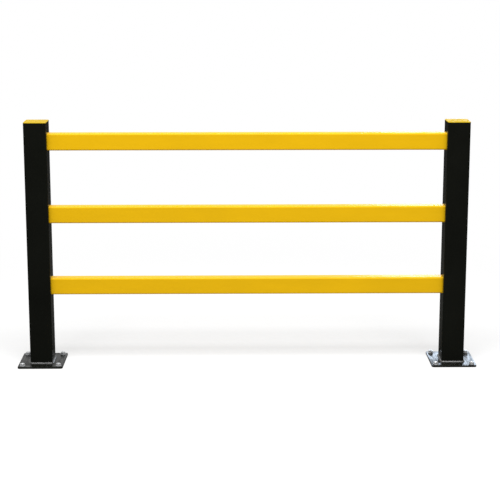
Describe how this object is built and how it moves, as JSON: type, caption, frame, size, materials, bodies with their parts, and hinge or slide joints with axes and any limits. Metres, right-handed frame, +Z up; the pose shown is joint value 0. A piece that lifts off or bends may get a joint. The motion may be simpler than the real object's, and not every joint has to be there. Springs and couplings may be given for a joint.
{
  "type": "impact protection railing bay",
  "caption": "Impact protection railing bay with square posts on bolted base plates, rectangular tube rails, foot welds and flat post caps.",
  "frame": {"origin": "centre of the left base plate's underside, on the ground", "axes": "+X along the rails towards the right-hand post, -Y towards the front, +Z up"},
  "size_m": [2.05, 0.2, 1.1],
  "materials": {
    "post_black": "gloss powder coat",
    "rail_yellow": "satin powder coat",
    "cap_yellow": "satin moulded",
    "anchor_zinc": "bright zinc plated"
  },
  "bodies": {
    "root": {"base_plate_left": "post_black", "base_plate_right": "post_black", "post_left": "post_black", "post_right": "post_black", "foot_weld_left": "post_black", "foot_weld_right": "post_black", "post_cap_left": "cap_yellow", "post_cap_right": "cap_yellow", "rail_top": "rail_yellow", "rail_middle": "rail_yellow", "rail_bottom": "rail_yellow"}
  },
  "joints": []
}
